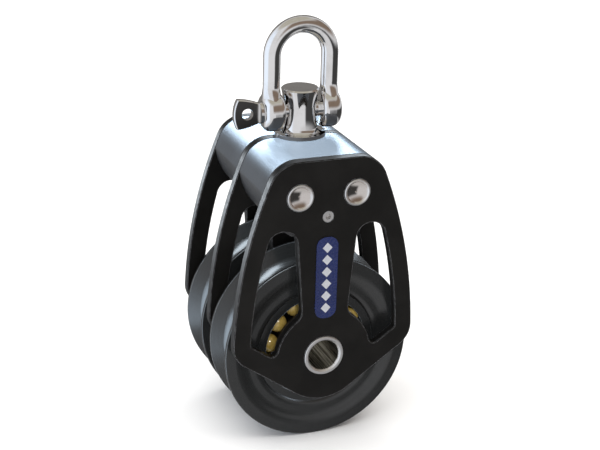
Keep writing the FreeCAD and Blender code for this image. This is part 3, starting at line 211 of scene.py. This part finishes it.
def sheave_finish(tree):
    """Glossy hard-anodised aluminium, turned, with edges lightened partly as wear and partly as a painted
    highlight along the rims.
    """
    place = tree.place()
    marks = rings(tree, tree.about(place, (0.0, 0.0)), 1400.0)
    tone = tree.noise(place, 240.0, 3.0)
    body = tree.mix(tone, (0.0088, 0.0084, 0.0078), (0.0128, 0.0122, 0.0114))
    worn_and_highlit = tree.worn_and_highlit_edge(place, SHEAVE_EDGE_WEAR_AND_HIGHLIGHT_WIDTH, 1200.0, 0.2)
    return {
        # painted rim highlight: the grey-blue edge colour is partly wear and partly stands in for the light
        # lines along the rims
        "Base Color": tree.mix(worn_and_highlit, body, (0.20, 0.21, 0.22)),
        "Roughness": tree.ramp(marks, 0.3, 0.7, 0.2, 0.25),
        "Specular IOR Level": 0.6,
        "Normal": tree.bump(marks, 0.0004 * MM, 0.4),
    }


def race_finish(tree):
    """Dull dark anodised aluminium with a grease film."""
    place = tree.place()
    marks = rings(tree, tree.about(place, (0.0, 0.0)), 3000.0)
    return {
        "Base Color": tree.mix(tree.noise(place, 200.0), (0.02, 0.018, 0.015), (0.045, 0.04, 0.034)),
        "Roughness": tree.varied(place, 500.0, 0.3, 0.5),
        "Metallic": 0.4,
        "Normal": tree.bump(marks, 0.005 * MM, 0.5),
    }


def ball_finish(tree):
    """Golden olive bearing polymer with slight marbling."""
    place = tree.place()
    marble = tree.noise(place, 500.0, 4.0, 0.6)
    return {
        "Base Color": tree.mix(tree.ramp(marble, 0.3, 0.7), (0.30, 0.205, 0.045), (0.45, 0.33, 0.095)),
        "Roughness": tree.varied(place, 900.0, 0.16, 0.24),
        "Specular IOR Level": 0.7,
        "Normal": tree.bump(tree.noise(place, 2500.0), 0.004 * MM, 0.4),
    }


def polished(waviness, painted_dark_tab=False):
    """Mirror polished stainless steel with faint marks and smudges; a tab's flat faces are rougher and carry
    a painted dark reflection in their dark grey colour.
    """
    def build(tree):
        place = tree.place()
        smudge = tree.ramp(tree.noise(place, 160.0, 4.0, 0.6), 0.4, 0.7)
        marks = tree.noise(tree.stretched(place, (900.0, 900.0, 6000.0)), 1.0, 3.0, 0.6)
        waves = tree.bump(tree.noise(place, 260.0, 2.0, 0.5), waviness, 0.5)
        colour = tree.mix(smudge, (0.82, 0.815, 0.81), (0.74, 0.73, 0.72))
        smudged = tree.ramp(smudge, 0.0, 1.0, 0.03, 0.08)
        dull = tree.math("ADD", smudged, tree.ramp(marks, 0.5, 0.8, 0.0, 0.03))
        if painted_dark_tab:
            true_normal = tree.node("ShaderNodeNewGeometry").outputs["True Normal"]
            flat = tree.ramp(tree.math("ABSOLUTE", tree.split(true_normal)["Y"]), 0.97, 0.995)
            on_tab = tree.ramp(tree.split(place)["X"], TAB_START - MM, TAB_START, 1.0, 0.0)
            face = tree.math("MULTIPLY", flat, on_tab)
            # painted dark reflection: the tab's flat faces are coloured dark grey
            painted_reflection_grey = tree.mix(tree.noise(place, 700.0, 4.0, 0.6), (0.085, 0.082, 0.08), (0.12, 0.115, 0.11))
            colour = tree.mix(face, colour, painted_reflection_grey)
            dull = tree.ramp(face, 0.0, 1.0, dull, TAB_ROUGHNESS)
        return {
            "Base Color": colour,
            "Metallic": 1.0,
            "Roughness": dull,
            "Normal": tree.bump(marks, 0.0006 * MM, 0.6, normal=waves),
        }
    return build


def axle_finish(tree):
    """Turned stainless steel outside, and painted shade in the bore: a dark colour with light streaks along
    it, partly drawn marks and partly painted reflection.
    """
    place = tree.place()
    radius = tree.about(place, (0.0, 0.0))
    bore = tree.ramp(radius, BORE_RADIUS, BORE_RADIUS + BORE_EDGE, 1.0, 0.0)
    streaks = tree.noise(tree.stretched(place, (1500.0, 30.0, 1500.0)), 1.0, 4.0, 0.7)
    # painted shade and reflection in the bore: dark with light streaks along it
    bore_shade_and_streaks = tree.mix(tree.ramp(streaks, 0.38, 0.66), (0.22, 0.21, 0.18), (0.92, 0.90, 0.84))
    marks = rings(tree, radius, 5000.0)
    tone = tree.mix(tree.varied(place, 300.0, 0.0, 1.0), (0.86, 0.85, 0.84), (0.78, 0.77, 0.76))
    height = tree.mix(bore, marks, streaks)
    return {
        "Base Color": tree.mix(bore, tone, bore_shade_and_streaks),
        "Metallic": 1.0,
        "Roughness": tree.ramp(marks, 0.3, 0.7, 0.34, 0.46),
        "Normal": tree.bump(height, 0.002 * MM, 0.6),
    }


def turned(centre, rough, mirrored=False, hollow=None):
    """Turned stainless steel with fine rings about a line along Y, smoother in its hollow, where a darker
    brown colour is a painted warm reflection and shade.
    """
    def build(tree):
        place = tree.place()
        around = tree.vector("ABSOLUTE", place) if mirrored else place
        radius = tree.about(around, centre)
        along = tree.noise(tree.stretched(place, (300.0, 7000.0, 300.0)), 1.0, 3.0, 0.7)
        marks = tree.math("ADD", rings(tree, radius, 9000.0), along)
        dull = tree.ramp(marks, 0.7, 1.3, *rough)
        tone = tree.varied(place, 300.0, 0.0, 1.0)
        colour = tree.mix(tone, (0.86, 0.85, 0.84), (0.78, 0.77, 0.76))
        if hollow:
            outside = tree.ramp(radius, hollow - HOLLOW_EDGE, hollow + HOLLOW_EDGE)
            dull = tree.ramp(outside, 0.0, 1.0, HOLLOW_ROUGHNESS, dull)
            # painted reflection and shade: the hollow is coloured darker and browner
            colour = tree.mix(outside, (0.64, 0.60, 0.57), colour)
        return {
            "Base Color": colour,
            "Metallic": 1.0,
            "Roughness": dull,
            "Normal": tree.bump(marks, 0.0015 * MM, 0.6),
        }
    return build


def bush_finish(tree):
    """Natural bearing polymer."""
    place = tree.place()
    return {
        "Base Color": tree.mix(tree.noise(place, 300.0, 3.0), (0.62, 0.60, 0.54), (0.74, 0.72, 0.66)),
        "Roughness": tree.varied(place, 1500.0, 0.4, 0.55),
        "Normal": tree.bump(tree.noise(place, 3000.0), 0.008 * MM, 0.5),
    }


def badge_finish(tree):
    """Blue enamel with a slight orange-peel surface."""
    place = tree.place()
    tone = tree.noise(place, 90.0, 3.0, 0.6)
    return {
        "Base Color": tree.mix(tree.ramp(tone, 0.3, 0.7), (0.013, 0.023, 0.108), (0.016, 0.028, 0.128)),
        "Roughness": tree.varied(place, 900.0, 0.24, 0.30),
        "Specular IOR Level": 0.4,
        "Coat Weight": 0.3,
        "Coat Roughness": 0.12,
        "Normal": tree.bump(tree.noise(place, 900.0), 0.004 * MM, 0.3),
    }


def badge_mark_finish(tree):
    """White enamel of the badge's marks."""
    place = tree.place()
    return {
        "Base Color": tree.mix(tree.noise(place, 600.0, 3.0), (0.50, 0.52, 0.58), (0.62, 0.64, 0.68)),
        "Roughness": tree.varied(place, 1200.0, 0.3, 0.42),
        "Normal": tree.bump(tree.noise(place, 2400.0), 0.008 * MM, 0.4),
    }


TIE_HEAD = (TIE_HIGH.z - TIE_LOW.z) / 2
TIE_CENTRE = (TIE_HIGH.x - TIE_HEAD, (TIE_LOW.z + TIE_HIGH.z) / 2)
SCREW_CENTRE = (0.0, (SCREW_LOW.z + SCREW_HIGH.z) / 2)
# the last colour given to anodised is the lightened edge colour: partly wear, partly a painted edge highlight
PLATE = material("plate_anodised", anodised(
    (0.0085, 0.0080, 0.0074), (0.0125, 0.0118, 0.0110), 0.34, 0.44, 0.15, (0.34, 0.35, 0.37)))
HEAD = material("head_anodised", anodised(
    (0.030, 0.031, 0.033), (0.042, 0.044, 0.047), 0.41, 0.45, 0.8, (0.16, 0.17, 0.18), grain_scale=2600.0))
SHEAVE = material("sheave_anodised", sheave_finish)
RACE = material("race_aluminium", race_finish)
BALL = material("ball_polymer", ball_finish)
FORGED = material("stainless_polished_forged", polished(FORGED_WAVES))
POLISHED = material("stainless_polished_turned", polished(TURNED_WAVES))
# the pin's tab gets the painted dark reflection
PIN = material("stainless_polished_pin", polished(TURNED_WAVES, painted_dark_tab=True))
TIE = material("tie_bolt_steel", turned(TIE_CENTRE, (0.34, 0.44), mirrored=True, hollow=TIE_HOLLOW))
SCREW = material("lock_screw_steel", turned(SCREW_CENTRE, (0.34, 0.46)))
AXLE = material("stainless_turned", axle_finish)
BUSH = material("bush_polymer", bush_finish)
BADGE = material("badge_blue", badge_finish)
BADGE_MARK = material("badge_white", badge_mark_finish)

FINISHES = {
    "front_side_plate": PLATE, "middle_side_plate": PLATE, "rear_side_plate": PLATE,
    "front_head_block": HEAD, "rear_head_block": HEAD,
    "front_sheave": SHEAVE, "rear_sheave": SHEAVE,
    "axle_tube": AXLE, "axle_end_ring": AXLE,
    "tie_bolts": TIE, "tie_nuts": TIE, "swivel_lock_screw": SCREW,
    "swivel_post": POLISHED, "swivel_nut": POLISHED, "shackle_bow": FORGED, "shackle_pin": PIN,
    "swivel_bush": BUSH, "front_badge": BADGE, "rear_badge": BADGE,
}
for node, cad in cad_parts.items():
    finish = FINISHES.get(node) or (BALL if node.endswith("_balls") else RACE)
    cad.data.materials.clear()
    cad.data.materials.append(finish)


# ---------------------------------------------------------------- badge marks

def add_piece(name, bm, finish, body):
    """Turn a bmesh into a piece that rides on a body."""
    bmesh.ops.recalc_face_normals(bm, faces=bm.faces)
    mesh = bpy.data.meshes.new(name)
    bm.to_mesh(mesh)
    bm.free()
    piece = bpy.data.objects.new(name, mesh)
    bpy.context.scene.collection.objects.link(piece)
    mesh.materials.append(finish)
    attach(piece, body)


def raised_tile(bm, outline, level, rise):
    """A flat tile with this outline, raised from level by rise along Y."""
    base = [bm.verts.new((x, level, z)) for x, z in outline]
    top = [bm.verts.new((x, level + rise, z)) for x, z in outline]
    bm.faces.new(top)
    for number in range(len(outline)):
        after = (number + 1) % len(outline)
        bm.faces.new((base[number], base[after], top[after], top[number]))


def badge_marks(side, facing):
    """A column of lozenges on a badge; facing is -1 at the front."""
    low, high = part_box(f"{side}_badge")
    face = low.y if facing < 0 else high.y
    level = face - facing * LOZENGE_SUNK
    bm = bmesh.new()
    pitch = (high.z - low.z - 2 * LOZENGE_END) / (LOZENGES - 1)
    for number in range(LOZENGES):
        middle = low.z + LOZENGE_END + pitch * number
        outline = [(LOZENGE_HALF_WIDE, middle), (0.0, middle + LOZENGE_HALF_TALL),
                   (-LOZENGE_HALF_WIDE, middle), (0.0, middle - LOZENGE_HALF_TALL)]
        raised_tile(bm, outline, level, facing * LOZENGE_RISE)
    add_piece(f"{side}_badge_marks", bm, BADGE_MARK, "block")


badge_marks("front", -1)
badge_marks("rear", 1)


# ---------------------------------------------------------------- floor, light and camera

FLOOR_HEIGHT = SHEAVE_LOW.z
FLOOR_HALF = 3.0
LIGHT_TARGET = (0.0, 0.0, 0.035)
AREA_LIGHT_FACTOR = 4.0


def floor_finish(tree):
    """Plain pale floor with a hardly visible mottle."""
    tone = tree.noise(tree.place(), 3.0, 3.0)
    return {
        "Base Color": tree.mix(tone, (0.90, 0.90, 0.90), (0.94, 0.94, 0.94)),
        "Roughness": 0.9,
        "Specular IOR Level": 0.1,
    }


def floor():
    """A plain pale floor under the sheaves."""
    mesh = bpy.data.meshes.new("floor")
    corners = [(x * FLOOR_HALF, y * FLOOR_HALF, 0.0) for x, y in ((-1, -1), (1, -1), (1, 1), (-1, 1))]
    mesh.from_pydata(corners, [], [(0, 1, 2, 3)])
    made = bpy.data.objects.new("floor", mesh)
    made.location.z = FLOOR_HEIGHT
    made.visible_glossy = False
    mesh.materials.append(material("pale_floor", floor_finish))
    bpy.context.scene.collection.objects.link(made)
    return made


# first and last azimuth, lowest and highest height and width of the soft edge, in degrees; then the colour
STUDIO_PANELS = (
    ((-100.0, 20.0, 8.0, 50.0, 24.0), (0.24, 0.18, 0.14)),
    ((-180.0, 180.0, 52.0, 91.0, 20.0), (0.50, 0.47, 0.40)),
    ((-70.0, 26.0, -46.0, -3.0, 14.0), (0.055, 0.055, 0.055)),
    ((139.0, 204.0, -40.0, 45.0, 20.0), (1.00, 1.10, 1.25)),
    ((40.0, 120.0, -35.0, 45.0, 15.0), (0.22, 0.21, 0.20)),
)


def studio():
    """A white studio seen by the camera, with soft panels that only reflections and light see."""
    world = bpy.data.worlds.new("studio")
    bpy.context.scene.world = world
    tree = Tree(world)
    direction = tree.node("ShaderNodeTexCoord").outputs["Generated"]
    parts = tree.split(direction)
    azimuth = tree.math("ARCTAN2", parts["Y"], parts["X"])
    height = tree.math("ARCSINE", parts["Z"])

    def panel(low, high, bottom, top, soft):
        """1 inside a range of azimuths and heights in degrees, with soft edges."""
        half = math.radians((high - low) / 2)
        middle = math.radians((low + high) / 2)
        edge = math.radians(soft)
        offset = tree.math("SUBTRACT", azimuth, middle)
        limits = {0: offset, 1: math.pi, 2: -math.pi}
        wrapped = tree.node("ShaderNodeMath", limits, operation="WRAP").outputs[0]
        across = tree.ramp(tree.math("ABSOLUTE", wrapped), half - edge / 2, half + edge / 2, 1.0, 0.0)
        above = tree.ramp(height, math.radians(bottom) - edge / 2, math.radians(bottom) + edge / 2)
        below = tree.ramp(height, math.radians(top) - edge / 2, math.radians(top) + edge / 2, 1.0, 0.0)
        return tree.math("MULTIPLY", across, tree.math("MULTIPLY", above, below))

    light = tree.mix(tree.ramp(parts["Z"], -1.0, -0.5), (0.62, 0.62, 0.62), (0.80, 0.80, 0.82))
    for (low, high, bottom, top, soft), colour in STUDIO_PANELS:
        light = tree.mix(panel(low, high, bottom, top, soft), light, colour)
    seen = tree.node("ShaderNodeBackground", {"Color": (1.0, 1.0, 1.0, 1.0), "Strength": 1.0}).outputs[0]
    unseen = tree.node("ShaderNodeBackground", {"Color": light, "Strength": 1.0}).outputs[0]
    camera_ray = tree.node("ShaderNodeLightPath").outputs["Is Camera Ray"]
    both = tree.node("ShaderNodeMixShader", {0: camera_ray, 1: unseen, 2: seen}).outputs[0]
    tree.node("ShaderNodeOutputWorld", {"Surface": both})


def group(name, things):
    """A collection of these objects."""
    made = bpy.data.collections.new(name)
    for thing in things:
        made.objects.link(thing)
    return made


def softbox(name, azimuth, height, away, size, radiance, colour, lit, blocked_by):
    """A soft rectangular light at an azimuth and height in degrees, seen only by the objects in lit."""
    data = bpy.data.lights.new(name, "AREA")
    data.shape = "RECTANGLE"
    data.size, data.size_y = size
    data.energy = radiance * AREA_LIGHT_FACTOR * size[0] * size[1]
    data.color = colour
    lamp = bpy.data.objects.new(name, data)
    bpy.context.scene.collection.objects.link(lamp)
    turn, rise = math.radians(azimuth), math.radians(height)
    direction = Vector((math.cos(rise) * math.cos(turn), math.cos(rise) * math.sin(turn), math.sin(rise)))
    lamp.location = Vector(LIGHT_TARGET) + direction * away
    lamp.rotation_euler = (-direction).to_track_quat("-Z", "Y").to_euler()
    lamp.visible_camera = False
    lamp.light_linking.receiver_collection = group(f"{name}_receivers", lit)
    if blocked_by:
        lamp.light_linking.blocker_collection = group(f"{name}_blockers", blocked_by)


def cad_nodes(*endings):
    """The part's objects whose names end so."""
    return [cad for node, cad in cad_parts.items() if node.endswith(endings)]


def camera():
    """The camera, looking down at the front from the left."""
    data = bpy.data.cameras.new("camera")
    data.lens = CAMERA_LENS
    data.sensor_width = SENSOR_WIDTH
    right, up = Vector(CAMERA_RIGHT), Vector(CAMERA_UP)
    turn = Matrix((right, up, right.cross(up))).transposed()
    made = bpy.data.objects.new("camera", data)
    made.matrix_world = Matrix.Translation(Vector(CAMERA_PLACE)) @ turn.to_4x4()
    bpy.context.scene.collection.objects.link(made)
    bpy.context.scene.camera = made


studio()
camera()
HEADS = cad_nodes("_head_block")
SHEAVES = cad_nodes("_sheave")
PLATES = cad_nodes("_side_plate")
ANODISED = HEADS + SHEAVES + PLATES

# name; azimuth and height in degrees; distance; size; radiance; colour; what it lights; what blocks it
SOFTBOXES = (
    ("floor_light", 90.0, 90.0, 2.5, (4.0, 4.0), 1.9, (1.0, 1.0, 1.0), [floor()], ()),
    ("back_top", 87.0, 27.0, 0.9, (0.75, 0.42), 17.5, (0.62, 0.80, 1.0), HEADS, ANODISED),
    ("back_edges", 66.0, 20.0, 0.9, (0.5, 0.3), 5.0, (0.8, 0.9, 1.0), PLATES, ANODISED),
    ("back_left", 128.0, 0.0, 0.8, (0.5, 0.3), 8.0, (0.84, 0.92, 1.0), PLATES, ANODISED),
    ("groove_low", 212.0, -20.0, 0.6, (0.25, 0.42), 6.0, (0.68, 0.84, 1.0), SHEAVES, ANODISED),
    ("groove_high", 232.0, 53.0, 0.6, (0.4, 0.25), 12.0, (0.78, 0.9, 1.0), SHEAVES, SHEAVES),
    ("lip_light", -38.0, 16.0, 0.6, (0.25, 0.1), 9.0, (0.74, 0.87, 1.0), SHEAVES, SHEAVES),
    ("bore_light", 92.0, 8.0, 0.6, (0.5, 0.4), 1.1, (1.0, 0.98, 0.93), cad_nodes("axle_tube"), ()),
    ("ball_light", -100.0, 38.0, 0.6, (0.1, 0.1), 34.0, (1.0, 0.97, 0.88), cad_nodes("_balls"), ()),
)
for settings in SOFTBOXES:
    softbox(*settings)
bpy.context.scene.view_settings.view_transform = "Standard"
